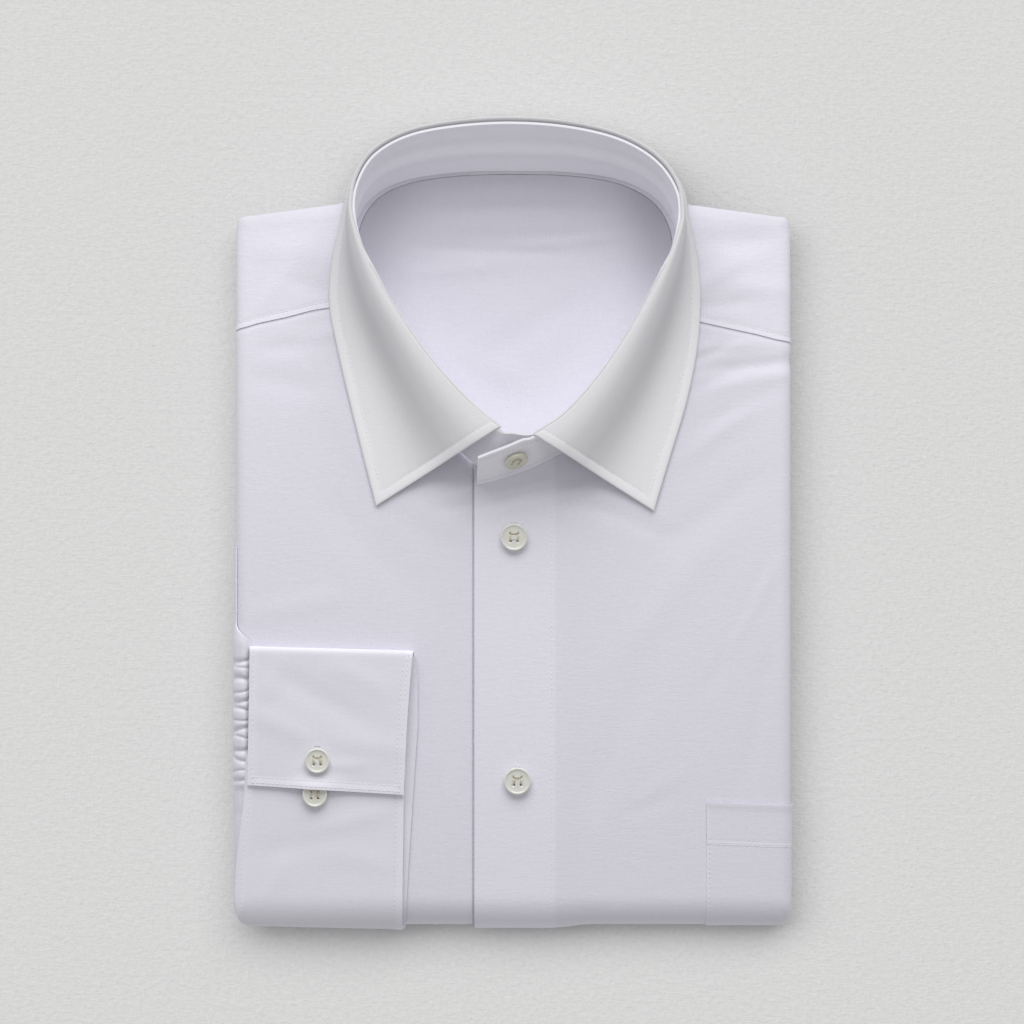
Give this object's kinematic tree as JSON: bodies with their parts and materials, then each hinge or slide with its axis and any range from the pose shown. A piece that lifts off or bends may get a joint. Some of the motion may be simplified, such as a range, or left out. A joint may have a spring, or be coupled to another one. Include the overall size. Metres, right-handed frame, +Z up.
{
  "type": "folded dress shirt",
  "caption": "Long-sleeved button-front dress shirt, buttoned and folded flat with its collar standing and one cuff laid across the front.",
  "frame": {"origin": "middle of the bounding box, on the surface that the folded shirt lies on", "axes": "+X to the right and +Y towards the collar as the front is looked down on, +Z up"},
  "size_m": [0.2361, 0.3395, 0.0505],
  "materials": {
    "white_cotton": "matte",
    "white_cotton_inside": "matte",
    "fused_collar_cotton": "matte",
    "pearl_button": "pearl"
  },
  "bodies": {
    "root": {"folded_layers": "white_cotton", "right_front": "white_cotton", "left_front": "white_cotton", "yoke": "white_cotton", "back_inside": "white_cotton_inside", "collar_band": "fused_collar_cotton", "collar_leaf": "fused_collar_cotton", "pocket": "white_cotton", "sleeve_end": "white_cotton", "cuff": "fused_collar_cotton", "collar_button": "pearl_button", "front_button_1": "pearl_button", "front_button_2": "pearl_button", "cuff_button_1": "pearl_button", "cuff_button_2": "pearl_button"}
  },
  "joints": []
}
